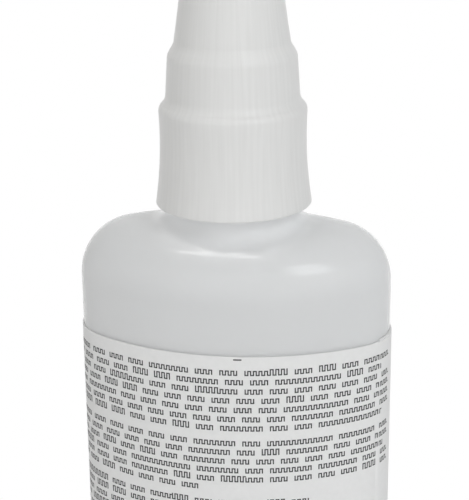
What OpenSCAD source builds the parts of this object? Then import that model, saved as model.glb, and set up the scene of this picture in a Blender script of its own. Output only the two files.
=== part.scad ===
// Squeeze bottle for a quick-setting glue, with its label, fill, nozzle, screw collar, cap and sealing pin.
// Millimetres. The origin is the middle of the base, +Z is up, the oval's width lies along X.

/* [Body] */
// Width of the oval body
body_w = 45; // [40:0.5:54]
// Depth of the oval body
body_d = 26; // [23:0.5:32]
// Radius of the two ends of the oval, seen from above
end_r = 8.6; // [7.6:0.1:10]
// Height from the base to the top of the shoulder
body_h = 68.4; // [55:0.1:90]
// Rounding of the shoulder
shoulder_r = 8.2; // [5:0.1:9]
// Rounding of the base edge
base_r = 3; // [2:0.1:4]
// Wall of the bottle
wall = 1.2; // [0.8:0.1:1.6]
// Width of the flat rim on which the bottle stands
stand_rim = 2; // [1:0.1:2.6]
// Rise of the hollow under the base
hollow_h = 1; // [0.6:0.1:2]

/* [Neck] */
// Diameter of the neck under its thread
neck_d = 15.8; // [14:0.1:17.6]
// Wall of the neck
neck_wall = 2.1; // [1.6:0.1:2.6]
// Height of the thread's crest, which the collar clears
thread_depth = 0.9; // [0.6:0.05:1.3]
// How far the neck flares out where it rises from the shoulder
neck_flare = 3.1; // [1:0.1:3.4]
// Radius of the flare's curve
flare_r = 9.5; // [7:0.5:11]

/* [Screw collar] */
// Height of the collar
collar_h = 14.6; // [12:0.1:18]
// Gap between the shoulder and the collar
collar_gap = 2.8; // [1:0.1:4]
// Wall of the collar at its waist
collar_wall = 1.44; // [1.2:0.02:2]
// Height of the waist above the collar's foot
waist_h = 9.7; // [7:0.1:10.5]
// Radius of the curve that draws the waist in
waist_r = 62; // [45:1:120]
// Thickness of the collar's top
collar_top = 2; // [1.4:0.1:3]
// Rounding of the collar's upper edge
collar_round = 1.3; // [0.4:0.05:1.6]
// Rounding of the collar's foot
foot_round = 0.6; // [0.2:0.05:0.8]

/* [Nozzle] */
// Wall of the nozzle
nozzle_wall = 1.3; // [1:0.1:1.6]
// Length of the plug in the neck
plug_l = 8; // [5:0.5:10]
// Thickness of the flange on the neck's lip
flange_t = 1.6; // [1.2:0.1:2.4]
// Width of the ledge where the collar bears on the flange
flange_ledge = 1.1; // [0.8:0.05:1.4]
// Height of the hub above the collar
hub_h = 5.2; // [4:0.1:5.8]
// Diameter of the spout at its root
spout_d = 9.2; // [8:0.1:9.8]
// Diameter of the spout at its tip
tip_d = 3.2; // [2.6:0.1:4]
// Diameter of the orifice
orifice_d = 1.2; // [0.8:0.05:1.6]
// Length of the orifice
orifice_l = 4; // [3:0.5:8]

/* [Cap] */
// Height of the cap
cap_h = 34.2; // [30:0.1:42]
// Wall of the cap at its foot
cap_wall = 1.53; // [1.3:0.01:2]
// Wall of the cap's upper tier
upper_wall = 1.2; // [0.9:0.1:1.5]
// Height of the lower tier
skirt_h = 6.1; // [5.8:0.1:9]
// Radius lost along the lower tier
skirt_draft = 0.33; // [0.2:0.01:0.6]
// Height of the soft step between the tiers
step_h = 2.6; // [1.4:0.1:4]
// Radius lost at the step
step_in = 1.02; // [0.5:0.02:1.2]
// Radius lost along the upper tier
upper_draft = 2.55; // [1.5:0.05:2.9]
// How far the upper tier's taper eases off towards the crown
upper_ease = 0.46; // [0:0.02:0.6]
// Rounding of the crown
crown_round = 1.8; // [1:0.1:2.4]
// Thickness of the crown
crown_t = 1.6; // [1.2:0.1:2.4]
// Diameter of the boss under the crown
boss_d = 5; // [3.6:0.1:5.6]
// Length of the boss
boss_l = 3.6; // [3:0.1:6]

/* [Sealing pin] */
// Length of the pin in its boss
pin_seat = 2.4; // [1.5:0.1:2.8]
// Length of the pin in the orifice
pin_reach = 3; // [2:0.1:6]

/* [Label] */
// Thickness of the label
label_t = 0.15; // [0.08:0.01:0.3]
// Drop from the top of the shoulder to the label
label_drop = 16; // [11:0.1:24]
// Rise from the base to the label
label_rise = 8.4; // [5:0.1:14]
// Where the overlap starts, in degrees in front of the right end
overlap_front = 31; // [10:1:45]
// Where the overlap stops, in degrees behind the right end
overlap_back = 44; // [10:1:45]
// Step of the label's edge at the overlap
overlap_step = 0.3; // [0:0.05:0.8]

/* [Fill] */
// Height of the air above the glue, from the top of the shoulder
headspace = 8; // [6:0.5:30]

/* [Fits] */
// Gap round the hub, in the collar and in the cap
hub_gap = 0.08; // [0.02:0.01:0.1]
// Gap round the plug in the neck
plug_gap = 0.05; // [0.02:0.01:0.1]
// Gap between the thread's crest and the collar
thread_gap = 0.1; // [0.05:0.01:0.2]
// Gap round the flange in the collar
flange_gap = 0.2; // [0.1:0.05:0.3]
// Gap round the pin in the orifice
pin_gap = 0.1; // [0.05:0.01:0.2]
// Gap round what lies on a wall or is held in a hole: label, fill and pin
seat_gap = 0.02; // [0.01:0.01:0.05]

/* [Hidden] */
$fn = 144;

// The oval: two front arcs, whose centres lie across the axis, run into two end arcs without a corner
half_w = body_w / 2;
half_d = body_d / 2;
end_x = half_w - end_r;
front_r = (pow(end_x, 2) + pow(half_d, 2) - pow(end_r, 2)) / (2 * (half_d - end_r));
front_y = front_r - half_d;
end_angle = atan2(front_y, end_x);
// Steps along an end arc, along a front arc and along a rounding
end_steps = 16;
front_steps = 14;
round_steps = 8;

// The shoulder's rounding leaves at least a small end radius on the flat top
top_end_r = 0.4;
shoulder_round = min(shoulder_r, end_r - top_end_r);
floor_z = hollow_h + wall;

// Heights of the closure, from the shoulder up
collar_z = body_h + collar_gap;
cap_z = collar_z + collar_h;
flange_z = cap_z - collar_top;
lip_z = flange_z - flange_t;
plug_z = lip_z - plug_l;
hub_z = cap_z + hub_h;
skirt_z = cap_z + skirt_h;
upper_z = skirt_z + step_h;
cap_top = cap_z + cap_h;
crown_z = cap_top - crown_t;
tip_z = crown_z - boss_l;

// Least width of shoulder in front of the neck's flare
flare_margin = 1.6;

// Radii of the closure, from the neck out
neck_r = neck_d / 2;
neck_bore = neck_r - neck_wall;
neck_foot = min(neck_r + neck_flare, half_d - flare_margin);
flare_turn = acos(1 - (neck_foot - neck_r) / flare_r);
collar_bore = neck_r + thread_depth + thread_gap;
collar_waist = collar_bore + collar_wall;
hub_r = collar_bore - flange_ledge;
plug_r = neck_bore - plug_gap;
plug_bore = plug_r - nozzle_wall;
spout_r = spout_d / 2;
tip_r = tip_d / 2;
orifice_r = orifice_d / 2;
cap_in = hub_r + hub_gap;
cap_r = cap_in + cap_wall;
skirt_top_r = cap_r - skirt_draft;
upper_r = skirt_top_r - step_in;
boss_r = boss_d / 2;
pin_r = orifice_r - pin_gap;

// Depth to which the neck's foot goes down to stay rooted in the falling shoulder
neck_root = 0.3;
shoulder_flat = half_d - shoulder_round;
past_flat = min(shoulder_round, max(0, neck_foot - shoulder_flat));
neck_sink = shoulder_round - sqrt(pow(shoulder_round, 2) - pow(past_flat, 2)) + neck_root;
flare_z = body_h - neck_sink + neck_root + flare_r * sin(flare_turn);

// Lead-in on edges that push into another piece, the plug's taper and the room above the hub
lead = 0.3;
plug_taper = 0.6;
plug_taper_l = 1.8;
hub_room = 0.5;

// How far a cut runs past the faces that it opens
over = 1;

label_z = label_rise;
label_top = body_h - label_drop;
fill_z = body_h - headspace;

// Points along an arc about [x, y]
function arc(x, y, r, from, to, steps = 8) =
    [for (i = [0:steps]) let (a = from + (to - from) * i / steps) [x + r * cos(a), y + r * sin(a)]];

// Points without the first and the last
function between(points) = [for (i = [1:len(points) - 2]) points[i]];

// Outer radius of the collar at a height above its foot
function collar_side(h) = collar_waist + waist_r - sqrt(pow(waist_r, 2) - pow(h - waist_h, 2));

// Outer radius of the cap's step, an S from 0 at the lower tier to 1 at the upper tier
function step_side(t) = skirt_top_r - step_in * (1 - cos(180 * t)) / 2;

// Outer radius of the cap's upper tier, from 0 at the step to 1 at the crown's rounding
function upper_side(t) = upper_r - upper_draft * ((1 + upper_ease) * t - upper_ease * t * t);

// Points round the oval, grown by an even width: the right end, the back, the left end and the front
function oval_points(grow) = concat(
    arc(end_x, 0, end_r + grow, -end_angle, end_angle, end_steps),
    between(arc(0, -front_y, front_r + grow, end_angle, 180 - end_angle, front_steps)),
    arc(-end_x, 0, end_r + grow, 180 - end_angle, 180 + end_angle, end_steps),
    between(arc(0, front_y, front_r + grow, 180 + end_angle, 360 - end_angle, front_steps))
);

// Oval block with rounded upper and lower edges: a skin over rings that follow two quarter circles
module oval_block(inset, z_low, z_high, top, bottom) {
    turns = [for (i = [0:round_steps]) 90 * i / round_steps];
    rings = concat(
        [for (t = turns) [inset + bottom * (1 - sin(t)), z_low + bottom * (1 - cos(t))]],
        [for (t = turns) [inset + top * (1 - cos(t)), z_high - top * (1 - sin(t))]]
    );
    points = [for (ring = rings) for (p = oval_points(-ring[0])) [p[0], p[1], ring[1]]];
    count = len(oval_points(0));
    last = len(rings) - 1;
    function at(j, i) = j * count + i % count;
    underside = [for (i = [0:count - 1]) at(0, i)];
    upside = [for (i = [count - 1:-1:0]) at(last, i)];
    sides = [
        for (j = [0:last - 1])
            for (i = [0:count - 1])
                [at(j, i), at(j + 1, i), at(j + 1, i + 1), at(j, i + 1)]
    ];
    polyhedron(points, concat([underside, upside], sides));
}

// Outside of the neck, which flares at its foot and has a rounded lip
module neck_outside() {
    lip_round = 0.4;
    rotate_extrude()
        polygon(concat(
            [[0, body_h - neck_sink], [neck_foot, body_h - neck_sink]],
            arc(neck_r + flare_r, flare_z, flare_r, 180 + flare_turn, 180),
            arc(neck_r - lip_round, lip_z - lip_round, lip_round, 0, 90, 4),
            [[0, lip_z]]
        ));
}

module bottle() {
    color([0.84, 0.86, 0.86])
        difference() {
            union() {
                oval_block(0, 0, body_h, shoulder_round, base_r);
                neck_outside();
            }
            oval_block(wall, floor_z, body_h - wall, shoulder_round - wall, base_r);
            translate([0, 0, body_h - wall - over])
                cylinder(r = neck_bore, h = lip_z - body_h + wall + 2 * over);
            translate([0, 0, -over])
                linear_extrude(hollow_h + over)
                    polygon(oval_points(-base_r - stand_rim));
        }
}

// Wrap of paper, with its end laid over its start at the right end
module label() {
    inner = seat_gap;
    outer = seat_gap + label_t;
    color([0.93, 0.93, 0.92]) {
        translate([0, 0, label_z])
            linear_extrude(label_top - label_z)
                difference() {
                    polygon(oval_points(outer));
                    polygon(oval_points(inner));
                }
        translate([end_x, 0, 0])
            rotate(-overlap_front)
                rotate_extrude(angle = overlap_front + overlap_back)
                    translate([end_r + outer, label_z + overlap_step])
                        square([label_t, label_top - label_z]);
    }
}

module adhesive() {
    inset = wall + seat_gap;
    color([0.9, 0.92, 0.9, 0.5])
        intersection() {
            oval_block(inset, floor_z + seat_gap, body_h - inset, shoulder_round - inset, base_r);
            translate([-body_w, -body_w, 0])
                cube([2 * body_w, 2 * body_w, fill_z]);
        }
}

// Plug, flange, hub and spout turned in one piece, with a well between the hub and the spout
module nozzle() {
    color([0.93, 0.94, 0.93])
        rotate_extrude()
            polygon([
                [plug_bore, plug_z],
                [plug_r - plug_taper, plug_z],
                [plug_r, plug_z + plug_taper_l],
                [plug_r, lip_z],
                [collar_bore - flange_gap, lip_z],
                [collar_bore - flange_gap, flange_z],
                [hub_r, flange_z],
                [hub_r, hub_z - lead],
                [hub_r - lead, hub_z],
                [hub_r - nozzle_wall, hub_z],
                [hub_r - nozzle_wall, flange_z],
                [spout_r, flange_z],
                [tip_r, tip_z - lead],
                [tip_r - lead, tip_z],
                [orifice_r, tip_z],
                [orifice_r, tip_z - orifice_l],
                [spout_r - nozzle_wall, flange_z],
                [plug_bore, lip_z]
            ]);
}

// Waisted collar, bored to clear the neck's thread, with a hole in its top for the hub
module screw_collar() {
    shoulder = collar_h - collar_round;
    color([0.86, 0.87, 0.87])
        translate([0, 0, collar_z])
            rotate_extrude()
                difference() {
                    intersection() {
                        union() {
                            translate([0, foot_round])
                                square([2 * collar_waist, shoulder - foot_round]);
                            square([collar_side(foot_round) - foot_round, shoulder]);
                            square([collar_side(shoulder) - collar_round, collar_h]);
                            translate([collar_side(foot_round) - foot_round, foot_round])
                                circle(foot_round);
                            translate([collar_side(shoulder) - collar_round, shoulder])
                                circle(collar_round);
                        }
                        square([collar_side(0), collar_h]);
                    }
                    translate([collar_waist + waist_r, waist_h])
                        circle(waist_r);
                    square([collar_bore, collar_h - collar_top]);
                    square([hub_r + hub_gap, collar_h]);
                }
}

// Two-tier cap that pushes over the hub, hollow up to the boss under its crown
module cap() {
    upper_top = cap_top - crown_round;
    upper_l = upper_top - upper_z;
    lean = atan2(upper_draft * (1 - upper_ease), upper_l);
    steps = 10;
    step = [for (i = [0:steps - 1]) [step_side(i / steps), skirt_z + step_h * i / steps]];
    outside = [for (i = [0:steps]) [upper_side(i / steps), upper_z + upper_l * i / steps]];
    inside = [for (i = [steps:-1:0]) [outside[i][0] - upper_wall, min(outside[i][1], crown_z)]];
    color([0.86, 0.87, 0.87])
        rotate_extrude()
            polygon(concat(
                [[cap_in + lead, cap_z], [cap_r, cap_z]],
                step,
                outside,
                arc(upper_side(1) - crown_round, upper_top, crown_round, lean, 90),
                [[0, cap_top], [0, tip_z + pin_seat]],
                [[pin_r + seat_gap, tip_z + pin_seat], [pin_r + seat_gap, tip_z]],
                [[boss_r, tip_z], [boss_r, crown_z], [upper_side(1) - upper_wall, crown_z]],
                inside,
                [[cap_in, hub_z + hub_room], [cap_in, cap_z + lead]]
            ));
}

module cap_pin() {
    color([0.7, 0.71, 0.72])
        rotate_extrude()
            polygon([
                [0, tip_z - pin_reach],
                [pin_r / 2, tip_z - pin_reach],
                [pin_r, tip_z - pin_reach + lead],
                [pin_r, tip_z + pin_seat],
                [0, tip_z + pin_seat]
            ]);
}

bottle();
label();
adhesive();
nozzle();
screw_collar();
cap();
cap_pin();
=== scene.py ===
# Looks of a squeeze bottle for quick-setting glue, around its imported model. Metres, +Z up.
import math

import bpy
from mathutils import Matrix, Vector


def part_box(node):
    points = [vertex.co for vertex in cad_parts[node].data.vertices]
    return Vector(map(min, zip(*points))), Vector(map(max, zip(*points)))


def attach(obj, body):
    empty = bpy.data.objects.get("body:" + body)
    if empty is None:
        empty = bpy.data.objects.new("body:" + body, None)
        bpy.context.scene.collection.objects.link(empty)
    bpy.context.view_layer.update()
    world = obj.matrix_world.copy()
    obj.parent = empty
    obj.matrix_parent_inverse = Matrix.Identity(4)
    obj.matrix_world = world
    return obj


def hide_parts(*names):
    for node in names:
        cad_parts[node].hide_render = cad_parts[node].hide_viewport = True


mm = 0.001
fullTurn = 2 * math.pi
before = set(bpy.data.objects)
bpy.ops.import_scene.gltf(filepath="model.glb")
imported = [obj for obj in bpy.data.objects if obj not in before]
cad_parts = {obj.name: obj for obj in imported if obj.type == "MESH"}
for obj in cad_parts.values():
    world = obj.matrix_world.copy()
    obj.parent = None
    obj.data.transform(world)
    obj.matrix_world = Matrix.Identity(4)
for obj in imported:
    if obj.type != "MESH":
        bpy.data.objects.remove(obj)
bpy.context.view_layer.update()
scene = bpy.context.scene


# Wiring of node trees

class Wire:  # a socket that takes part in expressions, in shader and geometry trees alike
    def __init__(self, tree, socket=None):
        self.tree = tree
        self.socket = socket

    def node(self, kind, settings=None, sockets=None, out=0):
        made = self.tree.nodes.new(kind)
        for name, value in (settings or {}).items():
            setattr(made, name, value)
        for name, value in (sockets or {}).items():
            if isinstance(value, Wire):
                self.tree.links.new(value.socket, made.inputs[name])
            else:
                made.inputs[name].default_value = value
        return Wire(self.tree, made.outputs[out] if made.outputs else None)

    def other(self, name):  # another output of the same node
        return Wire(self.tree, self.socket.node.outputs[name])

    def maths(self, operation, first, second=0.0, third=0.5):
        return self.node("ShaderNodeMath", {"operation": operation}, {0: first, 1: second, 2: third})

    def vector(self, operation, first, second, third=(0, 0, 0)):
        return self.node("ShaderNodeVectorMath", {"operation": operation}, {0: first, 1: second, 2: third})

    def floor(self):
        return self.maths("FLOOR", self)

    def __add__(self, value):
        return self.maths("ADD", self, value)

    def __radd__(self, value):
        return self.maths("ADD", value, self)

    def __sub__(self, value):
        return self.maths("SUBTRACT", self, value)

    def __rsub__(self, value):
        return self.maths("SUBTRACT", value, self)

    def __mul__(self, value):
        return self.maths("MULTIPLY", self, value)

    def __rmul__(self, value):
        return self.maths("MULTIPLY", value, self)

    def __truediv__(self, value):
        return self.maths("DIVIDE", self, value)

    def __mod__(self, value):
        return self.maths("MODULO", self, value)

    def __lt__(self, value):
        return self.maths("LESS_THAN", self, value)

    def __gt__(self, value):
        return self.maths("GREATER_THAN", self, value)


def mixColour(start, share, first, second):
    return start.node("ShaderNodeMix", {"data_type": "RGBA"}, {0: share, 6: first, 7: second}, out=2)


def joinVector(start, x, y, z):
    return start.node("ShaderNodeCombineXYZ", {}, {0: x, 1: y, 2: z})


def makeMaterial(name, build):
    material = bpy.data.materials.new(name)
    material.use_nodes = True
    material.node_tree.nodes.clear()
    start = Wire(material.node_tree)
    start.node("ShaderNodeOutputMaterial", {}, {"Surface": build(start)})
    return material


def geometryTree(name, inputs):
    tree = bpy.data.node_groups.new(name, "GeometryNodeTree")
    tree.interface.new_socket("Geometry", in_out="INPUT", socket_type="NodeSocketGeometry")
    for label, kind in inputs.items():
        tree.interface.new_socket(label, in_out="INPUT", socket_type="NodeSocket" + kind)
    tree.interface.new_socket("Geometry", in_out="OUTPUT", socket_type="NodeSocketGeometry")
    start = Wire(tree)
    return start, start.node("NodeGroupInput")


def growPiece(piece, start, values):
    modifier = piece.modifiers.new("build", "NODES")
    modifier.node_group = start.tree
    for item in start.tree.interface.items_tree:
        if item.in_out == "INPUT" and item.name in values:
            modifier[item.identifier] = values[item.name]
    graph = bpy.context.evaluated_depsgraph_get()
    made = bpy.data.meshes.new_from_object(piece.evaluated_get(graph))
    piece.modifiers.remove(modifier)
    piece.data = made


# Materials

def noise(start, place, scale, detail=2.0):
    return start.node("ShaderNodeTexNoise", {}, {"Vector": place, "Scale": scale, "Detail": detail})


def bumps(start, height, strength, depth):
    return start.node("ShaderNodeBump", {}, {"Strength": strength, "Distance": depth, "Height": height})


bottleLook = {
    "thin": (0.755, 0.768, 0.78, 1),
    "thick": (0.795, 0.803, 0.81, 1),
    "cloudScale": 70.0,
    "roughness": 0.11,
    "roughnessSpread": 0.08,
    "grain": 0.1,
    "grainScale": 900.0,
    "grainDepth": 0.05 * mm,
    "glow": 2.5 * mm,
    # painted glow under the collar: the emission colour and the mask that confines it to the neck's root
    "paintedGlow": (0.15, 0.15, 0.15, 1),
    "paintedGlowFront": 0.55,
    "rootNear": 8.0 * mm,
    "rootFar": 13.0 * mm,
    "endNear": 3.0 * mm,
    "endFar": 10.0 * mm,
    "rootLow": 62.0 * mm,
    "rootHigh": 68.0 * mm,
}


def ramp(start, value, low, high):
    return start.node("ShaderNodeMapRange", {"interpolation_type": "SMOOTHSTEP"}, {
        "Value": value, "From Min": low, "From Max": high})


def paintedCollarShadeGlow(start, place):  # painted glow: emission that lifts the shade under the collar, most at the ends, in place of light that the milky wall would carry there
    look = bottleLook
    parts = start.node("ShaderNodeSeparateXYZ", {}, {"Vector": place})
    across = parts.maths("ABSOLUTE", parts)
    off = parts.maths("SQRT", parts * parts + parts.other("Y") * parts.other("Y"))
    near = 1 - ramp(start, off, look["rootNear"], look["rootFar"])
    ends = ramp(start, across, look["endNear"], look["endFar"])
    high = ramp(start, parts.other("Z"), look["rootLow"], look["rootHigh"])
    share = near * high * (look["paintedGlowFront"] + (1 - look["paintedGlowFront"]) * ends)
    return mixColour(start, share, (0, 0, 0, 1), look["paintedGlow"])


def bottlePlastic(start):
    look = bottleLook
    place = start.node("ShaderNodeTexCoord", out="Object")
    cloud = noise(start, place, look["cloudScale"])
    return start.node("ShaderNodeBsdfPrincipled", {}, {
        "Base Color": mixColour(start, cloud, look["thin"], look["thick"]),
        "Roughness": look["roughness"] + look["roughnessSpread"] * cloud,
        "IOR": 1.51,
        "Specular IOR Level": 0.25,
        "Subsurface Weight": 0.8,
        "Subsurface Radius": (1.0, 1.0, 1.0),
        "Subsurface Scale": look["glow"],
        # painted glow: emission that brightens the shade under the collar
        "Emission Color": paintedCollarShadeGlow(start, place),
        "Emission Strength": 1.0,
        "Normal": bumps(start, noise(start, place, look["grainScale"]), look["grain"], look["grainDepth"]),
    })


closureLook = {
    "dull": (0.77, 0.77, 0.762, 1),
    "bright": (0.815, 0.815, 0.808, 1),
    "cloudScale": 120.0,
    "cloudShare": 0.4,
    "streakScale": 20.0,
    "streakRise": 4.0,
    "streakShare": 2.0,
    "shareDrop": 0.7,
    "roughness": 0.3,
    "roughnessSpread": 0.08,
    "grain": 0.1,
    "grainScale": 1500.0,
    "grainDepth": 0.03 * mm,
}


def closurePlastic(start):
    look = closureLook
    place = start.node("ShaderNodeTexCoord", out="Object")
    parts = start.node("ShaderNodeSeparateXYZ", {}, {"Vector": place})
    around = parts.maths("ARCTAN2", parts.other("Y"), parts.other("X"))
    drawn = joinVector(start, around, 0.0, look["streakRise"] * parts.other("Z"))
    streak = noise(start, drawn, look["streakScale"])  # faint lines that the mould's polish leaves
    cloud = look["cloudShare"] * noise(start, place, look["cloudScale"], 3.0)
    cloud = cloud + look["streakShare"] * streak - look["shareDrop"]
    return start.node("ShaderNodeBsdfPrincipled", {}, {
        "Base Color": mixColour(start, cloud, look["dull"], look["bright"]),
        "Roughness": look["roughness"] + look["roughnessSpread"] * cloud,
        "IOR": 1.49,
        "Specular IOR Level": 0.25,
        "Normal": bumps(start, noise(start, place, look["grainScale"]), look["grain"], look["grainDepth"]),
    })


paperLook = {
    "dull": (0.81, 0.811, 0.81, 1),
    "bright": (0.87, 0.87, 0.87, 1),
    "roughness": 0.5,
    "roughnessSpread": 0.15,
    "fibre": 0.1,
    "fibreScale": 1200.0,
    "fibreDepth": 0.02 * mm,
}


def labelPaper(start):
    look = paperLook
    place = start.node("ShaderNodeTexCoord", out="Object")
    fibre = noise(start, place, look["fibreScale"], 4.0)
    return start.node("ShaderNodeBsdfPrincipled", {}, {
        "Base Color": mixColour(start, fibre, look["dull"], look["bright"]),
        "Roughness": look["roughness"] + look["roughnessSpread"] * fibre,
        "Specular IOR Level": 0.25,
        "Normal": bumps(start, fibre, look["fibre"], look["fibreDepth"]),
    })


inkLook = {
    "thin": (0.05, 0.05, 0.052, 1),
    "full": (0.018, 0.018, 0.02, 1),
    "speckScale": 2500.0,
    "roughness": 0.45,
    "roughnessSpread": 0.1,
}


def printInk(start):
    look = inkLook
    place = start.node("ShaderNodeTexCoord", out="Object")
    speck = noise(start, place, look["speckScale"])
    return start.node("ShaderNodeBsdfPrincipled", {}, {
        "Base Color": mixColour(start, speck, look["thin"], look["full"]),
        "Roughness": look["roughness"] + look["roughnessSpread"] * speck,
    })


nozzleLook = {
    "thin": (0.74, 0.765, 0.77, 1),
    "thick": (0.79, 0.81, 0.81, 1),
    "cloudScale": 150.0,
    "roughness": 0.3,
    "roughnessSpread": 0.1,
    "grain": 0.08,
    "grainScale": 1200.0,
    "grainDepth": 0.03 * mm,
    "glow": 2.0 * mm,
}


def nozzlePlastic(start):
    look = nozzleLook
    place = start.node("ShaderNodeTexCoord", out="Object")
    cloud = noise(start, place, look["cloudScale"])
    return start.node("ShaderNodeBsdfPrincipled", {}, {
        "Base Color": mixColour(start, cloud, look["thin"], look["thick"]),
        "Roughness": look["roughness"] + look["roughnessSpread"] * cloud,
        "Subsurface Weight": 0.8,
        "Subsurface Radius": (1.0, 1.0, 1.0),
        "Subsurface Scale": look["glow"],
        "Normal": bumps(start, noise(start, place, look["grainScale"]), look["grain"], look["grainDepth"]),
    })


glueLook = {
    "deep": (0.83, 0.86, 0.84, 1),
    "clear": (0.88, 0.9, 0.88, 1),
    "swirlScale": 60.0,
}


def glueLiquid(start):
    look = glueLook
    place = start.node("ShaderNodeTexCoord", out="Object")
    swirl = noise(start, place, look["swirlScale"])
    return start.node("ShaderNodeBsdfPrincipled", {}, {
        "Base Color": mixColour(start, swirl, look["deep"], look["clear"]),
        "Roughness": 0.05,
        "IOR": 1.45,
        "Transmission Weight": 0.9,
    })


pinLook = {
    "dull": (0.52, 0.52, 0.53, 1),
    "bright": (0.68, 0.68, 0.68, 1),
    "lineScale": 9000.0,
    "lineStretch": (1.0, 1.0, 0.02),
    "roughness": 0.25,
    "roughnessSpread": 0.2,
}


def pinSteel(start):
    look = pinLook
    place = start.node("ShaderNodeTexCoord", out="Object")
    drawn = start.node("ShaderNodeMapping", {}, {"Vector": place, "Scale": look["lineStretch"]})
    line = noise(start, drawn, look["lineScale"])
    return start.node("ShaderNodeBsdfPrincipled", {}, {
        "Base Color": mixColour(start, line, look["dull"], look["bright"]),
        "Metallic": 1.0,
        "Roughness": look["roughness"] + look["roughnessSpread"] * line,
    })


materials = {
    "bottle": makeMaterial("bottlePlastic", bottlePlastic),
    "label": makeMaterial("labelPaper", labelPaper),
    "ink": makeMaterial("printInk", printInk),
    "adhesive": makeMaterial("glueLiquid", glueLiquid),
    "nozzle": makeMaterial("nozzlePlastic", nozzlePlastic),
    "closure": makeMaterial("closurePlastic", closurePlastic),
    "pin": makeMaterial("pinSteel", pinSteel),
}
print("materials:", len(materials))


# Shared mesh helpers

def newPiece(name, mesh):
    piece = bpy.data.objects.new(name, mesh)
    scene.collection.objects.link(piece)
    return piece


def skin(name, rings, joinEnds=False):  # quads between rings of one count; a ring of one point is a pole
    points = []
    starts = []
    for ring in rings:
        starts.append(len(points))
        points.extend(ring)
    faces = []
    count = max(len(ring) for ring in rings)
    for low in range(len(rings) if joinEnds else len(rings) - 1):
        high = (low + 1) % len(rings)
        for i in range(count):
            j = (i + 1) % count
            corners = []
            for ring, step in ((low, i), (low, j), (high, j), (high, i)):
                corner = starts[ring] + (step if len(rings[ring]) > 1 else 0)
                if corner not in corners:
                    corners.append(corner)
            faces.append(corners)
    mesh = bpy.data.meshes.new(name)
    mesh.from_pydata(points, [], faces)
    mesh.validate()
    return newPiece(name, mesh)


def dress(piece, material, sharpAngle=40):
    piece.data.materials.clear()
    piece.data.materials.append(materials[material])
    for face in piece.data.polygons:
        face.use_smooth = True
    piece.data.set_sharp_from_angle(angle=math.radians(sharpAngle))


def spread(start, stop, steps):
    return [start + (stop - start) * i / steps for i in range(steps)]


def arcOf(x, z, radius, start, stop, steps=10):
    turns = [math.radians(start + (stop - start) * i / steps) for i in range(steps + 1)]
    return [(x + radius * math.cos(t), z + radius * math.sin(t)) for t in turns]


cornerShare = 0.45  # the most of a side that one rounding takes, so that two never meet


def softCorners(corners, steps=4):  # profile from (radius, height, reach of the rounding)
    points = []
    for i, (radius, z, ease) in enumerate(corners):
        here = Vector((radius, z))
        if not ease:
            points.append((radius, z))
            continue
        back = Vector(corners[i - 1][:2]) - here
        ahead = Vector(corners[(i + 1) % len(corners)][:2]) - here
        reach = min(ease, cornerShare * back.length, cornerShare * ahead.length)
        first = here + back.normalized() * reach
        last = here + ahead.normalized() * reach
        for step in range(steps + 1):
            t = step / steps
            place = first * (1 - t)**2 + here * 2 * t * (1 - t) + last * t * t
            points.append((place.x, place.y))
    return points


latheSteps = 144
latheSharp = 50  # degrees, past which a turned piece keeps an edge


def lathe(name, profile, joinEnds=False):  # the profile runs down the inside and up the outside
    turns = spread(0.0, fullTurn, latheSteps)
    rings = []
    for radius, z in profile:
        if radius == 0.0:
            rings.append([(0.0, 0.0, z)])
        else:
            rings.append([(radius * math.cos(t), radius * math.sin(t), z) for t in turns])
    return skin(name, rings, joinEnds)


# The oval of the body: two wide front arcs run into two end arcs

bottleLow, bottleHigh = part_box("bottle")
labelLow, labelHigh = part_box("label")
fillLow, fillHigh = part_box("adhesive")
nozzleLow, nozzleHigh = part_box("nozzle")
collarLow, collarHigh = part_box("screw_collar")
capLow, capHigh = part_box("cap")
pinLow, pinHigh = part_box("cap_pin")

ovalForm = {
    "endRadius": 8.6 * mm,
    "endSteps": 56,
    "endCrowding": 0.7,
    "frontSteps": 60,
}
halfWidth = bottleHigh.x
halfDepth = bottleHigh.y
endRadius = ovalForm["endRadius"]
endX = halfWidth - endRadius
frontRadius = (endX**2 + halfDepth**2 - endRadius**2) / (2 * (halfDepth - endRadius))
frontY = frontRadius - halfDepth
endAngle = math.atan2(frontY, endX)


def ovalPoint(turn, grow):  # turn is the direction in which the oval faces there
    turn = turn % fullTurn
    if turn < endAngle or turn > fullTurn - endAngle:
        centre, radius = (endX, 0.0), endRadius
    elif turn < math.pi - endAngle:
        centre, radius = (0.0, -frontY), frontRadius
    elif turn < math.pi + endAngle:
        centre, radius = (-endX, 0.0), endRadius
    else:
        centre, radius = (0.0, frontY), frontRadius
    return (centre[0] + (radius + grow) * math.cos(turn), centre[1] + (radius + grow) * math.sin(turn))


def endTurns(middle):  # closer together at the mould's parting line
    shares = spread(-1.0, 1.0, ovalForm["endSteps"])
    crowding = ovalForm["endCrowding"]
    return [middle + endAngle * ((1 - crowding) * u + crowding * u**3) for u in shares]


ovalTurns = (
    endTurns(0.0)
    + spread(endAngle, math.pi - endAngle, ovalForm["frontSteps"])
    + endTurns(math.pi)
    + spread(math.pi + endAngle, fullTurn - endAngle, ovalForm["frontSteps"])
)


def ovalRing(inset, z, ridge=0.0):  # a ridge stands up along the parting line at the two ends
    ring = []
    for turn in ovalTurns:
        off = endRadius * math.sin(turn) / bottleForm["ridgeWidth"]
        ring.append((*ovalPoint(turn, ridge * math.exp(-off * off) - inset), z))
    return ring


def ovalDepth(x, y):  # how far a point lies inside the oval's edge
    x, y = abs(x), abs(y)
    if math.atan2(y + frontY, x) < endAngle:
        return endRadius - math.hypot(x - endX, y)
    return frontRadius - math.hypot(x, y + frontY)


# Bottle: one closed skin, up the outside, over the lip and down the inside

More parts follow.
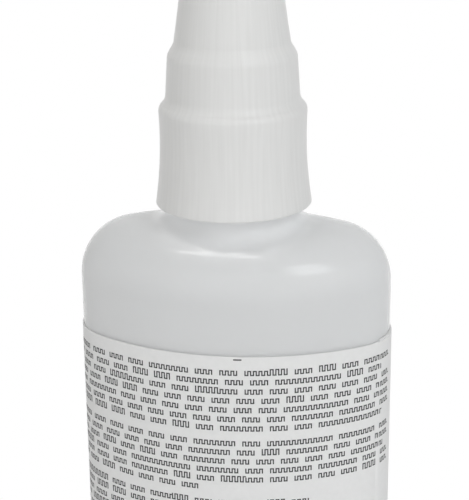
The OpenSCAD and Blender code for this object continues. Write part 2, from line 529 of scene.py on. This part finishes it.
bottleForm = {
    "collarGap": 2.8 * mm,
    "shoulder": 8.2 * mm,
    "baseRound": 3.0 * mm,
    "standRim": 2.0 * mm,
    "hollow": 1.0 * mm,
    "wall": 1.2 * mm,
    "neckRadius": 7.9 * mm,
    "neckWall": 2.1 * mm,
    "frontFillet": 2.4 * mm,
    "endFillet": 4.8 * mm,
    "lipRound": 0.4 * mm,
    "lipSteps": 5,
    "neckStart": 1.0 * mm,
    "ease": 0.25 * mm,
    "ridge": 0.05 * mm,
    "ridgeWidth": 0.18 * mm,
    "roundSteps": 12,
    "neckSteps": 32,
}
labelRise = 0.3 * mm
labelTop = labelHigh.z - labelRise
bodyTop = collarLow.z - bottleForm["collarGap"]
lipZ = bottleHigh.z
floorZ = bottleForm["hollow"] + bottleForm["wall"]


def shoulderZ(inset, wall):  # height of the shoulder at an inset, outside or one wall inside
    radius = bottleForm["shoulder"] - wall
    top = bodyTop - wall
    short = max(0.0, radius - (inset - wall))
    return top - radius + math.sqrt(max(0.0, radius**2 - short**2))


def filletRise(place):  # how far the fillet at the neck's root stands above the shoulder
    front, end = bottleForm["frontFillet"], bottleForm["endFillet"]
    fillet = front + (end - front) * (place.x / place.length)**4
    short = max(0.0, fillet - (place.length - bottleForm["neckRadius"]))
    return fillet - math.sqrt(max(0.0, fillet**2 - short**2))


def neckRings(neckRadius, wall):  # from an oval ring of the shoulder in to a round ring
    rings = []
    outer = ovalRing(bottleForm["neckStart"] + wall, 0.0)
    for step in range(1, bottleForm["neckSteps"] + 1):
        share = 1 - (1 - step / bottleForm["neckSteps"])**2
        ring = []
        for x, y, _ in outer:
            toward = Vector((x, y)).normalized() * neckRadius
            place = Vector((x, y)).lerp(toward, share)
            z = shoulderZ(ovalDepth(place.x, place.y), wall)
            if not wall:
                z += filletRise(place)
            ring.append((place.x, place.y, z))
        rings.append(ring)
    return rings


def shoulderRings(wall, ridge):  # up the shoulder's rounding to where the neck's rings start
    steps = bottleForm["roundSteps"]
    radius = bottleForm["shoulder"] - wall
    bend = math.acos(1 - bottleForm["neckStart"] / radius)
    rings = []
    for i in range(steps + 1):
        inset = wall + radius * (1 - math.cos(bend * i / steps))
        rings.append(ovalRing(inset, shoulderZ(inset, wall), ridge * (1 - i / steps)))
    return rings


def roundRing(like, radius, z):
    ring = []
    for x, y, _ in like:
        toward = Vector((x, y)).normalized() * radius
        ring.append((toward.x, toward.y, z))
    return ring


def footRings(inset, low, steps, ridge=0.0):  # the rounding from the base up to the wall
    radius = bottleForm["baseRound"]
    rings = []
    for i in range(steps + 1):
        t = math.pi / 2 * i / steps
        rings.append(ovalRing(inset + radius * (1 - math.sin(t)), low + radius * (1 - math.cos(t)), ridge))
    return rings


def bottleOutside():
    form = bottleForm
    ridge, ease, hollow = form["ridge"], form["ease"], form["hollow"]
    rimIn = form["baseRound"] + form["standRim"]
    rings = [
        [(0.0, 0.0, hollow)],
        ovalRing(rimIn + 3 * ease, hollow),
        ovalRing(rimIn + ease, hollow - ease),
        ovalRing(rimIn, ease),
        ovalRing(rimIn - ease, 0.0),
    ]
    rings += footRings(0.0, 0.0, form["roundSteps"], ridge)
    rings += [  # the label lies flat over the parting line
        ovalRing(0.0, labelLow.z - 2 * ease, ridge),
        ovalRing(0.0, labelLow.z - ease),
        ovalRing(0.0, labelTop + ease),
        ovalRing(0.0, labelTop + 2 * ease, ridge),
    ]
    rings += shoulderRings(0.0, ridge)
    rings += neckRings(form["neckRadius"], 0.0)
    return rings


def makeBottle():
    form = bottleForm
    rings = bottleOutside()
    foot = rings[-1]
    lip = form["lipRound"]
    bore = form["neckRadius"] - form["neckWall"]
    edge = arcOf(form["neckRadius"] - lip, lipZ - lip, lip, 0, 90, form["lipSteps"])
    edge += arcOf(bore + lip, lipZ - lip, lip, 90, 180, form["lipSteps"])
    for radius, z in edge:
        rings.append(roundRing(foot, radius, z))
    rings += reversed(neckRings(bore, form["wall"]))
    rings += reversed(shoulderRings(form["wall"], 0.0))
    rings += reversed(footRings(form["wall"], floorZ, form["roundSteps"]))
    rings.append([(0.0, 0.0, floorZ)])
    return skin("bottle_shell", rings)


bottle = makeBottle()
dress(bottle, "bottle")
print("bottle:", len(bottle.data.polygons), "faces")


# Fill: liquid that climbs a little where it wets the wall

fillForm = {"climb": 0.3 * mm, "climbWidth": 1.5 * mm, "steps": 8}


def makeFill():
    form = fillForm
    wall = halfWidth - fillHigh.x
    rings = [[(0.0, 0.0, fillLow.z)]]
    rings += footRings(wall, fillLow.z, form["steps"])
    for i in range(form["steps"] + 1):
        t = i / form["steps"]
        rings.append(ovalRing(wall + form["climbWidth"] * t, fillHigh.z - form["climb"] * (1 - (1 - t)**3)))
    rings.append([(0.0, 0.0, fillHigh.z - form["climb"])])
    return skin("glue_fill", rings)


fill = makeFill()
dress(fill, "adhesive")
print("fill:", len(fill.data.polygons), "faces")


# Label: one strip of paper, wound slightly askew, whose end climbs over its start at the right end

labelForm = {
    "gap": 0.02 * mm,
    "paper": 0.15 * mm,
    "startTurn": math.radians(-31),
    "endTurn": math.radians(360 + 44),
    "climb": math.radians(3.5),
    "steps": 430,
}


def labelInner(turn):  # distance from the bottle to the paper's back
    form = labelForm
    climbed = (turn - form["startTurn"] - fullTurn) / form["climb"] + 1
    climbed = min(1.0, max(0.0, climbed))
    return form["gap"] + form["paper"] * climbed * climbed * (3 - 2 * climbed)


def labelFace(turn):
    return labelInner(turn) + labelForm["paper"]


def bandOnOval(name, sections):  # closed strip along the oval, from (turn, inner, outer, low, high)
    rings = []
    for turn, inner, outer, low, high in sections:
        rings.append([(*ovalPoint(turn, outer), low), (*ovalPoint(turn, outer), high),
                      (*ovalPoint(turn, inner), high), (*ovalPoint(turn, inner), low)])
    ends = [[tuple(sum(part) / 4 for part in zip(*ring))] for ring in (rings[0], rings[-1])]
    return skin(name, [ends[0]] + rings + [ends[1]])


def makeLabel():
    form = labelForm
    sections = []
    for i in range(form["steps"] + 1):
        share = i / form["steps"]
        turn = form["startTurn"] + (form["endTurn"] - form["startTurn"]) * share
        lift = labelRise * (1 - share)
        sections.append((turn, labelInner(turn), labelFace(turn), labelLow.z + lift, labelTop + lift))
    return bandOnOval("label_wrap", sections)


label = makeLabel()
dress(label, "label")
print("label:", len(label.data.polygons), "faces")


# Print: rows of a plain meander line, broken into runs of several lengths

printForm = {
    "fromTurn": math.radians(150),
    "toTurn": math.radians(345),
    "turnSteps": 260,
    "blockRows": (7, 6, 7),
    "lastRows": (0.95, 0.52, 0.6),
    "thirdBlock": 0.76,
    "runStrokes": 9,
    "runGap": 2,
    "runBreaks": 0.8,
    "runOver": 6,
    "tallShare": 0.15,
    "topMargin": 2.3 * mm,
    "rowPitch": 1.41 * mm,
    "blockGap": 0.9 * mm,
    "strokePitch": 0.39 * mm,
    "stroke": 0.18 * mm,
    "lowHeight": 0.78 * mm,
    "tallHeight": 1.0 * mm,
    "ink": 0.012 * mm,
    "seed": 11,
}


def printTree():
    start, ports = geometryTree("print_rows", {
        "Columns": "Int", "Rows": "Int", "First Block": "Int", "Second Block": "Int",
        "Top": "Float", "Row Pitch": "Float", "Block Gap": "Float", "Pitch": "Float", "Stroke": "Float",
        "Low Height": "Float", "Tall Height": "Float", "Tall Share": "Float",
        "Ink Thickness": "Float", "Face": "Float",
        "Run": "Int", "Run Gap": "Int", "Run Over": "Int", "Breaks": "Float",
        "Last 1": "Float", "Last 2": "Float", "Last 3": "Float", "Third Block": "Float",
        "Seed": "Int", "Ink": "Material"})
    port = ports.other
    index = start.node("GeometryNodeInputIndex")
    link = index % 2  # 0 for an upright stroke, 1 for the level stroke on to the next one
    column = (index / 2).floor() % port("Columns")
    row = (index / (2 * port("Columns"))).floor()
    endOne = port("First Block")
    endTwo = endOne + port("Second Block")

    def draw(salt, place):  # one random share for each place in a row
        cell = row * port("Columns") + place.floor()
        return start.node("FunctionNodeRandomValue", {"data_type": "FLOAT"}, {
            2: 0.0, 3: 1.0, "ID": cell, "Seed": port("Seed") + salt}, out=1)

    def pick(upright, level):
        return upright + link * (level - upright)

    def inRun(place):  # a run's last strokes are left out, or else it goes on into the next one
        place = place + shift
        last = place % port("Run") > port("Run") - port("Run Gap") - 0.5
        return 1 - last * (draw(1, place / port("Run")) < port("Breaks"))

    shift = (draw(2, 0 * row) * port("Run")).floor()
    along = (column + 0.5) * port("Pitch")
    blocks = (row > endOne - 0.5) + (row > endTwo - 0.5)
    base = port("Top") - row * port("Row Pitch") - blocks * port("Block Gap")
    lastShare = (start.maths("COMPARE", row, endOne - 1) * (1 - port("Last 1"))
                 + start.maths("COMPARE", row, endTwo - 1) * (1 - port("Last 2"))
                 + start.maths("COMPARE", row, port("Rows") - 1) * (1 - port("Last 3")))
    share = (1 - lastShare) * (1 - (row > endTwo - 0.5) * (1 - port("Third Block")))
    runEnd = (((column + shift) / port("Run")).floor() + 1) * port("Run") - shift
    inRow = runEnd < port("Columns") * share + port("Run Over")
    kept = inRow * inRun(column) * pick(1.0, inRun(column + 1))

    tall = draw(3, (column + shift) / port("Run")) < port("Tall Share")
    height = port("Low Height") + tall * (port("Tall Height") - port("Low Height"))
    atFoot = column % 2
    linkZ = base + port("Stroke") / 2 + (1 - atFoot) * (height - port("Stroke"))
    spot = joinVector(start, along + link * port("Pitch") / 2, 0.0, pick(base + height / 2, linkZ))
    wide, high = pick(port("Stroke"), port("Pitch")), pick(height, port("Stroke"))
    scale = joinVector(start, wide, port("Ink Thickness"), high)
    count = 2 * port("Columns") * port("Rows")
    points = start.node("GeometryNodePoints", {}, {"Count": count, "Position": spot})
    block = start.node("GeometryNodeMeshCube")
    strokes = start.node("GeometryNodeInstanceOnPoints", {}, {
        "Points": points, "Selection": kept, "Instance": block, "Scale": scale})
    flat = start.node("GeometryNodeRealizeInstances", {}, {"Geometry": strokes})

    path = start.node("GeometryNodeMeshToCurve", {}, {"Mesh": port("Geometry")})
    where = start.node("ShaderNodeSeparateXYZ", {}, {0: start.node("GeometryNodeInputPosition")})
    bend = start.node("GeometryNodeSampleCurve", {"mode": "LENGTH"}, {
        "Curves": path, "Length": where}, out="Position")
    outward = start.vector("CROSS_PRODUCT", bend.other("Tangent"), (0, 0, 1))
    rise = port("Face") + where.other("Y")
    lifted = start.vector("MULTIPLY_ADD", outward, joinVector(start, rise, rise, rise), bend)
    placed = start.vector("ADD", lifted, joinVector(start, 0.0, 0.0, where.other("Z")))
    wrapped = start.node("GeometryNodeSetPosition", {}, {"Geometry": flat, "Position": placed})
    inked = start.node("GeometryNodeSetMaterial", {}, {"Geometry": wrapped, "Material": port("Ink")})
    start.node("NodeGroupOutput", {}, {"Geometry": inked})
    return start


def makePrint():
    form = printForm
    route = []
    for i in range(form["turnSteps"] + 1):
        turn = form["fromTurn"] + (form["toTurn"] - form["fromTurn"]) * i / form["turnSteps"]
        route.append((*ovalPoint(turn, labelFace(turn)), 0.0))
    length = sum(math.dist(a, b) for a, b in zip(route, route[1:]))
    mesh = bpy.data.meshes.new("label_print")
    mesh.from_pydata(route, [(i, i + 1) for i in range(form["turnSteps"])], [])
    piece = newPiece("label_print", mesh)
    growPiece(piece, printTree(), {
        "Columns": int(length / form["strokePitch"]) // 2 * 2,
        "Rows": sum(form["blockRows"]),
        "First Block": form["blockRows"][0],
        "Second Block": form["blockRows"][1],
        "Top": labelTop - form["topMargin"] - form["lowHeight"] / 2,
        "Row Pitch": form["rowPitch"],
        "Block Gap": form["blockGap"],
        "Pitch": form["strokePitch"],
        "Stroke": form["stroke"],
        "Low Height": form["lowHeight"],
        "Tall Height": form["tallHeight"],
        "Tall Share": form["tallShare"],
        "Ink Thickness": form["ink"],
        "Face": form["ink"] / 3,
        "Run": form["runStrokes"],
        "Run Gap": form["runGap"],
        "Run Over": form["runOver"],
        "Breaks": form["runBreaks"],
        "Last 1": form["lastRows"][0],
        "Last 2": form["lastRows"][1],
        "Last 3": form["lastRows"][2],
        "Third Block": form["thirdBlock"],
        "Seed": form["seed"],
        "Ink": materials["ink"],
    })
    return piece


markForm = {
    "middle": math.radians(273.9),
    "halfTurn": math.radians(1.0),
    "drop": 0.3 * mm,
    "height": 0.2 * mm,
    "steps": 6,
}


def makeMark():  # the printer's register dash at the label's upper edge
    form = markForm
    low = labelTop - form["drop"] - form["height"] / 2
    ink = printForm["ink"]
    sections = []
    for i in range(form["steps"] + 1):
        turn = form["middle"] + form["halfTurn"] * (2 * i / form["steps"] - 1)
        sections.append((turn, labelFace(turn) - ink, labelFace(turn) + ink, low, low + form["height"]))
    return bandOnOval("label_mark", sections)


prints = makePrint()
mark = makeMark()
dress(mark, "ink")
print("print:", len(prints.data.polygons) // 6, "strokes in", sum(printForm["blockRows"]), "rows")


# Screw collar: waisted ring with a thread inside

collarForm = {
    "bore": 8.9 * mm,
    "waist": 10.34 * mm,
    "waistHeight": 9.7 * mm,
    "waistRadius": 62 * mm,
    "top": 2.0 * mm,
    "topRound": 1.3 * mm,
    "footRound": 0.15 * mm,
    "hubHole": 7.88 * mm,
    "sideSteps": 24,
    "ease": 0.15 * mm,
}


def collarSide(height):
    form = collarForm
    radius = form["waistRadius"]
    return form["waist"] + radius - math.sqrt(radius**2 - (height - form["waistHeight"])**2)


def makeCollar():
    form = collarForm
    foot, top, ease = form["footRound"], form["topRound"], form["ease"]
    low, high = collarLow.z, collarHigh.z
    tall = high - low
    outside = arcOf(collarSide(foot) - foot, low + foot, foot, -90, 0)[:-1]
    outside += [(collarSide(h), low + h) for h in spread(foot, tall - top, form["sideSteps"])]
    outside += arcOf(collarSide(tall - top) - top, high - top, top, 0, 90)
    inside = softCorners([
        (form["hubHole"] + ease, high, 0),
        (form["hubHole"], high - ease, 0),
        (form["hubHole"], high - form["top"], ease),
        (form["bore"], high - form["top"], 2 * ease),
        (form["bore"], low + 2 * ease, 0),
        (form["bore"] + ease, low, 0),
    ])
    return lathe("collar_ring", outside + inside, joinEnds=True)


collar = makeCollar()
dress(collar, "closure", latheSharp)


# Threads: one helix on the neck and one in the collar, half a lead apart

threadForm = {
    "lead": 3.0 * mm,
    "neck": {"Radius": 7.95 * mm, "Crest": 0.62 * mm, "Turns": 2.5, "Start": collarLow.z + 1.4 * mm},
    "collar": {"Radius": 8.92 * mm, "Crest": 0.5 * mm, "Turns": 2.5, "Start": collarLow.z + 2.9 * mm},
    "stepsPerTurn": 60,
    "sides": 10,
    "runOut": 0.18,
    "tip": 0.05,
}


def threadTree():
    start, ports = geometryTree("thread_helix", {
        "Radius": "Float", "Crest": "Float", "Turns": "Float", "Start": "Float", "Lead": "Float",
        "Steps": "Int", "Sides": "Int", "Run Out": "Float", "Tip": "Float", "Finish": "Material"})
    port = ports.other
    line = start.node("GeometryNodeCurvePrimitiveLine")
    fine = start.node("GeometryNodeResampleCurve", {}, {"Curve": line, "Count": port("Steps")})
    turned = start.node("GeometryNodeSplineParameter", out="Factor") * port("Turns")
    spot = joinVector(
        start,
        port("Radius") * start.maths("COSINE", turned * fullTurn),
        port("Radius") * start.maths("SINE", turned * fullTurn),
        port("Start") + turned * port("Lead"))
    helix = start.node("GeometryNodeSetPosition", {}, {"Geometry": fine, "Position": spot})
    upright = start.node("GeometryNodeSetCurveNormal", {"mode": "Z_UP"}, {"Curve": helix})
    nearEnd = start.maths("MINIMUM", turned, port("Turns") - turned)
    taper = start.maths("MINIMUM", nearEnd / port("Run Out"), 1.0)
    taper = start.maths("MAXIMUM", taper, port("Tip"))
    circle = start.node("GeometryNodeCurvePrimitiveCircle", {}, {
        "Resolution": port("Sides"), "Radius": port("Crest")})
    rib = start.node("GeometryNodeCurveToMesh", {}, {
        "Curve": upright, "Profile Curve": circle, "Scale": taper, "Fill Caps": True})
    whole = start.node("GeometryNodeRealizeInstances", {}, {"Geometry": rib})
    finished = start.node("GeometryNodeSetMaterial", {}, {"Geometry": whole, "Material": port("Finish")})
    start.node("NodeGroupOutput", {}, {"Geometry": finished})
    return start


helixTree = threadTree()


def makeThread(name, which, material):
    form = threadForm
    piece = newPiece(name, bpy.data.meshes.new(name))
    sizes = dict(form[which], Lead=form["lead"], Sides=form["sides"], Tip=form["tip"])
    sizes["Steps"] = int(form["stepsPerTurn"] * sizes["Turns"])
    sizes["Run Out"] = form["runOut"]
    sizes["Finish"] = materials[material]
    growPiece(piece, helixTree, sizes)
    dress(piece, material)
    return piece


neckThread = makeThread("neck_thread", "neck", "bottle")
collarThread = makeThread("collar_thread", "collar", "closure")
threadFaces = len(neckThread.data.polygons) + len(collarThread.data.polygons)
print("collar:", len(collar.data.polygons), "faces, threads:", threadFaces)


# Nozzle: plug, flange, hub and spout in one moulding

nozzleForm = {
    "plug": 5.75 * mm,
    "plugBore": 4.45 * mm,
    "plugTaper": 0.6 * mm,
    "plugTaperLength": 1.8 * mm,
    "hub": 7.8 * mm,
    "hubHeight": 5.2 * mm,
    "wall": 1.3 * mm,
    "spout": 4.6 * mm,
    "tip": 1.6 * mm,
    "orifice": 0.6 * mm,
    "orificeLength": 4.0 * mm,
    "lead": 0.3 * mm,
    "ease": 0.25 * mm,
}


def makeNozzle():
    form = nozzleForm
    ease, lead = form["ease"], form["lead"]
    flangeZ = collarHigh.z - collarForm["top"]
    hubZ = collarHigh.z + form["hubHeight"]
    tipZ = nozzleHigh.z
    hubIn = form["hub"] - form["wall"]
    return lathe("spout_nozzle", softCorners([
        (form["orifice"], tipZ, ease / 2),
        (form["orifice"], tipZ - form["orificeLength"], ease),
        (form["spout"] - form["wall"], flangeZ, ease),
        (form["plugBore"], lipZ, ease),
        (form["plugBore"], nozzleLow.z, ease),
        (form["plug"] - form["plugTaper"], nozzleLow.z, ease),
        (form["plug"], nozzleLow.z + form["plugTaperLength"], ease),
        (form["plug"], lipZ, ease),
        (nozzleHigh.x, lipZ, ease),
        (nozzleHigh.x, flangeZ, ease),
        (form["hub"], flangeZ, 0),
        (form["hub"], hubZ - lead, ease),
        (form["hub"] - lead, hubZ, ease),
        (hubIn, hubZ, ease),
        (hubIn, flangeZ, 2 * ease),
        (form["spout"], flangeZ, 3 * ease),
        (form["tip"], tipZ - lead, ease),
        (form["tip"] - lead, tipZ, ease),
    ]), joinEnds=True)


nozzle = makeNozzle()
dress(nozzle, "nozzle", latheSharp)
print("nozzle:", len(nozzle.data.polygons), "faces")


# Cap: two tiers joined by a soft step, closed by a crown with a gate mark

capForm = {
    "bore": 7.88 * mm,
    "skirt": 6.1 * mm,
    "skirtDraft": 0.33 * mm,
    "step": 2.6 * mm,
    "stepIn": 1.02 * mm,
    "upperDraft": 2.55 * mm,
    "upperEase": 0.46,
    "upperWall": 1.2 * mm,
    "crown": 1.6 * mm,
    "crownRound": 1.8 * mm,
    "boss": 2.5 * mm,
    "bossLength": 3.6 * mm,
    "pinHole": 0.52 * mm,
    "pinSeat": 2.4 * mm,
    "hubRoom": 0.5 * mm,
    "lead": 0.3 * mm,
    "ease": 0.2 * mm,
    "footFillet": 2.0 * mm,
    "footEnd": 222,
    "footGap": 0.01 * mm,
    "footSteps": 8,
    "seatSteps": 6,
    "gate": 1.1 * mm,
    "gateRim": 1.6,
    "gateTaper": 0.9,
    "gateDepth": 0.25 * mm,
    "gateStub": 0.4 * mm,
    "sideSteps": 20,
}
skirtZ = capLow.z + capForm["skirt"]
upperZ = skirtZ + capForm["step"]
upperTop = capHigh.z - capForm["crownRound"]


def upperSide(share):  # outer radius of the upper tier, from the step to the crown's rounding
    form = capForm
    foot = capHigh.x - form["skirtDraft"] - form["stepIn"]
    return foot - form["upperDraft"] * ((1 + form["upperEase"]) * share - form["upperEase"] * share**2)


def capFoot():  # a hollow rounding runs out on the collar's rounded upper edge
    form = capForm
    top, fillet = collarForm["topRound"], form["footFillet"]
    roundX = collarSide(collarHigh.z - collarLow.z - top) - top
    roundZ = collarHigh.z - top
    filletX = capHigh.x + fillet
    filletZ = roundZ + math.sqrt((top + fillet)**2 - (filletX - roundX)**2)
    outer = arcOf(filletX, filletZ, fillet, form["footEnd"], 180, form["footSteps"])
    reach = math.degrees(math.atan2(outer[0][1] - roundZ, outer[0][0] - roundX))
    return arcOf(roundX, roundZ, top + form["footGap"], 90, reach, form["seatSteps"]) + outer


def capOutside():
    form = capForm
    skirtTop = capHigh.x - form["skirtDraft"]
    points = capFoot()
    for share in spread(0.0, 1.0, form["sideSteps"]):
        inward = form["stepIn"] * (1 - math.cos(math.pi * share)) / 2
        points.append((skirtTop - inward, skirtZ + form["step"] * share))
    for share in spread(0.0, 1.0, form["sideSteps"]):
        points.append((upperSide(share), upperZ + (upperTop - upperZ) * share))
    lean = math.degrees(math.atan2(form["upperDraft"] * (1 - form["upperEase"]), upperTop - upperZ))
    points += arcOf(upperSide(1.0) - form["crownRound"], upperTop, form["crownRound"], lean, 90)
    gateZ = capHigh.z - form["gateDepth"]
    stubZ = gateZ + form["gateDepth"] / 2
    points += softCorners([
        (form["gate"] * form["gateRim"], capHigh.z, 0),
        (form["gate"], capHigh.z, form["ease"]),
        (form["gate"] * form["gateTaper"], gateZ, form["ease"]),
        (form["gateStub"], gateZ, 0),
        (form["gateStub"] * form["gateTaper"], stubZ, 0),
        (0.0, stubZ, 0),
    ])
    return points


def capInside():
    form = capForm
    crownZ = capHigh.z - form["crown"]
    bossZ = crownZ - form["bossLength"]
    seatZ = bossZ + form["pinSeat"]
    hubTop = capLow.z + nozzleForm["hubHeight"] + form["hubRoom"]
    points = softCorners([
        (0.0, seatZ, 0),
        (form["pinHole"], seatZ, 0),
        (form["pinHole"], bossZ, 0),
        (form["boss"], bossZ, form["ease"]),
        (form["boss"], crownZ, 2 * form["ease"]),
        (upperSide(1.0) - form["upperWall"], crownZ, 0),
    ])
    for share in spread(1.0, 0.0, form["sideSteps"]):
        points.append((upperSide(share) - form["upperWall"], upperZ + (upperTop - upperZ) * share))
    points += softCorners([
        (upperSide(0.0) - form["upperWall"], upperZ, 0),
        (form["bore"], hubTop, form["ease"]),
        (form["bore"], capLow.z + form["lead"], form["ease"]),
        (form["bore"] + form["lead"], capLow.z, 0),
    ])
    return points


cap = lathe("cap_shell", capInside() + capOutside())
dress(cap, "closure", latheSharp)


# Sealing pin in the cap's boss

pinForm = {"lead": 0.3 * mm, "ease": 0.1 * mm}


def makePin():
    radius = pinHigh.x
    return lathe("sealing_pin", softCorners([
        (0.0, pinLow.z, 0),
        (radius / 2, pinLow.z, pinForm["ease"]),
        (radius, pinLow.z + pinForm["lead"], pinForm["ease"]),
        (radius, pinHigh.z, pinForm["ease"]),
        (0.0, pinHigh.z, 0),
    ]))


pin = makePin()
dress(pin, "pin")
print("cap:", len(cap.data.polygons), "faces, pin:", len(pin.data.polygons))


# Stage: white floor, soft boxes and the photograph's camera

photoView = {
    "turn": 8.75,
    "distance": 206.8 * mm,
    "rise": 61.4 * mm,
    "pitch": 18.42,
    "roll": -0.64,
    "focalPixels": 1511.0,
    "longSidePixels": 500.0,
    "sensor": 36.0,
}


def makeCamera():
    view = photoView
    turn, pitch, roll = (math.radians(view[name]) for name in ("turn", "pitch", "roll"))
    forward = Vector((-math.sin(turn) * math.cos(pitch), math.cos(turn) * math.cos(pitch), -math.sin(pitch)))
    level = Vector((math.cos(turn), math.sin(turn), 0.0))
    upward = level.cross(forward)
    right = math.cos(roll) * level + math.sin(roll) * upward
    top = math.cos(roll) * upward - math.sin(roll) * level
    data = bpy.data.cameras.new("photo_camera")
    data.sensor_width = view["sensor"]
    data.lens = view["focalPixels"] * view["sensor"] / view["longSidePixels"]
    data.clip_start = 1 * mm
    camera = bpy.data.objects.new("photo_camera", data)
    scene.collection.objects.link(camera)
    place = Vector((math.sin(turn), -math.cos(turn), 0.0)) * view["distance"]
    place.z = collarLow.z + view["rise"]
    camera.matrix_world = Matrix.Translation(place) @ Matrix((right, top, -forward)).transposed().to_4x4()
    scene.camera = camera


softBoxes = {
    "overhead": {
        "turn": -40, "tilt": 74, "roll": 25, "size": (0.48, 0.06),
        "power": 1.35, "colour": (1.0, 0.99, 0.97), "mirrored": True},
    "window": {
        "turn": 43, "tilt": 40, "roll": 0, "size": (0.27, 0.31),
        "power": 1.6, "colour": (0.97, 0.99, 1.0), "mirrored": True},
    "front": {
        "turn": 12, "tilt": 18, "roll": 0, "size": (1.5, 0.8),
        "power": 2.8, "colour": (1.0, 1.0, 1.0), "mirrored": True},
    "back": {
        "turn": 190, "tilt": 22, "roll": 0, "size": (0.5, 0.5),
        "power": 1.6, "colour": (1.0, 1.0, 1.0), "mirrored": False},
}
boxDistance = 0.9


def makeSoftBox(name, box):
    turn, tilt = math.radians(box["turn"]), math.radians(box["tilt"])
    away = Vector((math.sin(turn) * math.cos(tilt), -math.cos(turn) * math.cos(tilt), math.sin(tilt)))
    data = bpy.data.lights.new(name, "AREA")
    data.shape = "RECTANGLE"
    data.size, data.size_y = box["size"]
    data.energy = box["power"]
    data.color = box["colour"]
    lamp = bpy.data.objects.new(name, data)
    scene.collection.objects.link(lamp)
    lamp.location = Vector((0.0, 0.0, bodyTop)) + away * boxDistance
    turned = Matrix.Rotation(math.radians(box["roll"]), 3, "Z")
    lamp.rotation_euler = (away.to_track_quat("Z", "Y").to_matrix() @ turned).to_euler()
    lamp.visible_camera = False
    lamp.visible_glossy = box["mirrored"]


stageLook = {
    "fill": 0.55,
    "fillRight": 0.025,
    "fillFront": -0.08,
    "fillTop": -0.35,
    "warmSide": (1.0, 0.99, 0.965, 1),
    "coolSide": (0.985, 0.995, 1.0, 1),
    "white": (1, 1, 1, 1),
    "floorColour": (0.9, 0.9, 0.9, 1),
    "floorReach": 4.0,
    "shadowNear": 26 * mm,
    "shadowFar": 44 * mm,
}


def seenDirectly(start):  # 1 for rays that show the backdrop, 0 for rays that light the object
    path = start.node("ShaderNodeLightPath", out="Is Camera Ray")
    seen = path.maths("MAXIMUM", path, path.other("Is Glossy Ray"))
    return path.maths("MAXIMUM", seen, path.other("Is Transmission Ray"))


def makeWorld():  # white where it is seen, and a soft room, dimmer above and in front, where it lights
    look = stageLook
    world = bpy.data.worlds.new("studio")
    world.use_nodes = True
    world.node_tree.nodes.clear()
    start = Wire(world.node_tree)
    toward = start.node("ShaderNodeSeparateXYZ", {}, {0: start.node("ShaderNodeTexCoord", out="Generated")})
    sideways = look["fillRight"] * toward - look["fillFront"] * toward.other("Y")
    room = look["fill"] + sideways + look["fillTop"] * toward.other("Z")
    seen = seenDirectly(start)
    tint = mixColour(start, 0.5 + 0.5 * toward, look["warmSide"], look["coolSide"])
    light = start.node("ShaderNodeBackground", {}, {
        "Color": mixColour(start, seen, tint, look["white"]), "Strength": room + seen * (1 - room)})
    start.node("ShaderNodeOutputWorld", {}, {"Surface": light})
    scene.world = world


def whiteFloor(start):  # plain and shaded round the object, plain white further out
    place = start.node("ShaderNodeTexCoord", out="Object")
    reach = start.node("ShaderNodeVectorMath", {"operation": "LENGTH"}, {0: place}, out="Value")
    far = ramp(start, reach, stageLook["shadowNear"], stageLook["shadowFar"])
    plain = start.node("ShaderNodeBsdfDiffuse", {}, {"Color": stageLook["floorColour"]})
    white = start.node("ShaderNodeEmission", {}, {"Color": stageLook["white"], "Strength": 1.0})
    return start.node("ShaderNodeMixShader", {}, {0: far * seenDirectly(start), 1: plain, 2: white})


def makeFloor():
    reach = stageLook["floorReach"]
    mesh = bpy.data.meshes.new("floor")
    corners = [(-reach, -reach, 0), (reach, -reach, 0), (reach, reach, 0), (-reach, reach, 0)]
    mesh.from_pydata(corners, [], [(0, 1, 2, 3)])
    mesh.materials.append(makeMaterial("whiteFloor", whiteFloor))
    newPiece("floor", mesh)


makeCamera()
for boxName, boxLook in softBoxes.items():
    makeSoftBox(boxName, boxLook)
makeWorld()
makeFloor()
scene.view_settings.view_transform = "Standard"
print("stage: camera,", len(softBoxes), "soft boxes, floor")


# Which body carries each piece, and what it stands for

placings = (
    (bottle, "bottle", "bottle", "bottle"),
    (neckThread, "bottle", "bottle", None),
    (fill, "bottle", "adhesive", "adhesive"),
    (label, "bottle", "label", "label"),
    (prints, "bottle", "label", None),
    (mark, "bottle", "label", None),
    (nozzle, "nozzle", "nozzle", "nozzle"),
    (collar, "screw_collar", "closure", "screw_collar"),
    (collarThread, "screw_collar", "closure", None),
    (cap, "cap", "closure", "cap"),
    (pin, "cap", "pin", "cap_pin"),
)
for piece, body, slotName, node in placings:
    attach(piece, body)
    if node:
        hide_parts(node)
